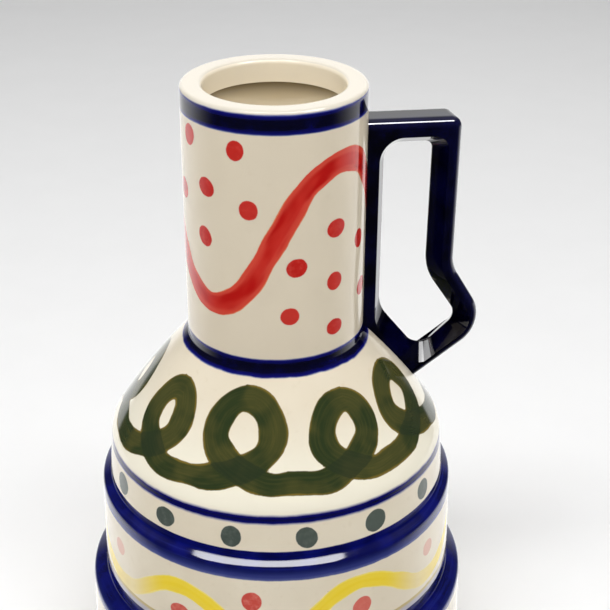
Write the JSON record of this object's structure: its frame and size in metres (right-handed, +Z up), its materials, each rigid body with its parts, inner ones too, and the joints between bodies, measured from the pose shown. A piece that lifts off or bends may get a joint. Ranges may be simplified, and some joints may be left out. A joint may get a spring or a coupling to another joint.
{
  "type": "handled vase",
  "caption": "Stepped ceramic vase with a straight neck, sloping shoulder, rounded tiers and an angular loop handle, painted with bands, waves, loops and dots, for holding flowers.",
  "frame": {"origin": "centre of the foot ring on the surface that the vase stands on", "axes": "+Z up along the vase's axis towards the mouth, +X towards the handle"},
  "size_m": [0.2132, 0.2074, 0.34],
  "materials": {
    "cream_glaze": "glossy",
    "cobalt_glaze": "glossy",
    "navy_glaze": "glossy",
    "bare_clay": "matte"
  },
  "bodies": {
    "root": {"foot_ring": "bare_clay", "base_disc": "cream_glaze", "lower_tier": "cream_glaze", "lower_roll": "cobalt_glaze", "middle_tier": "cream_glaze", "middle_roll": "cobalt_glaze", "shoulder": "cream_glaze", "neck": "cream_glaze", "rim": "cream_glaze", "handle": "navy_glaze"}
  },
  "joints": []
}
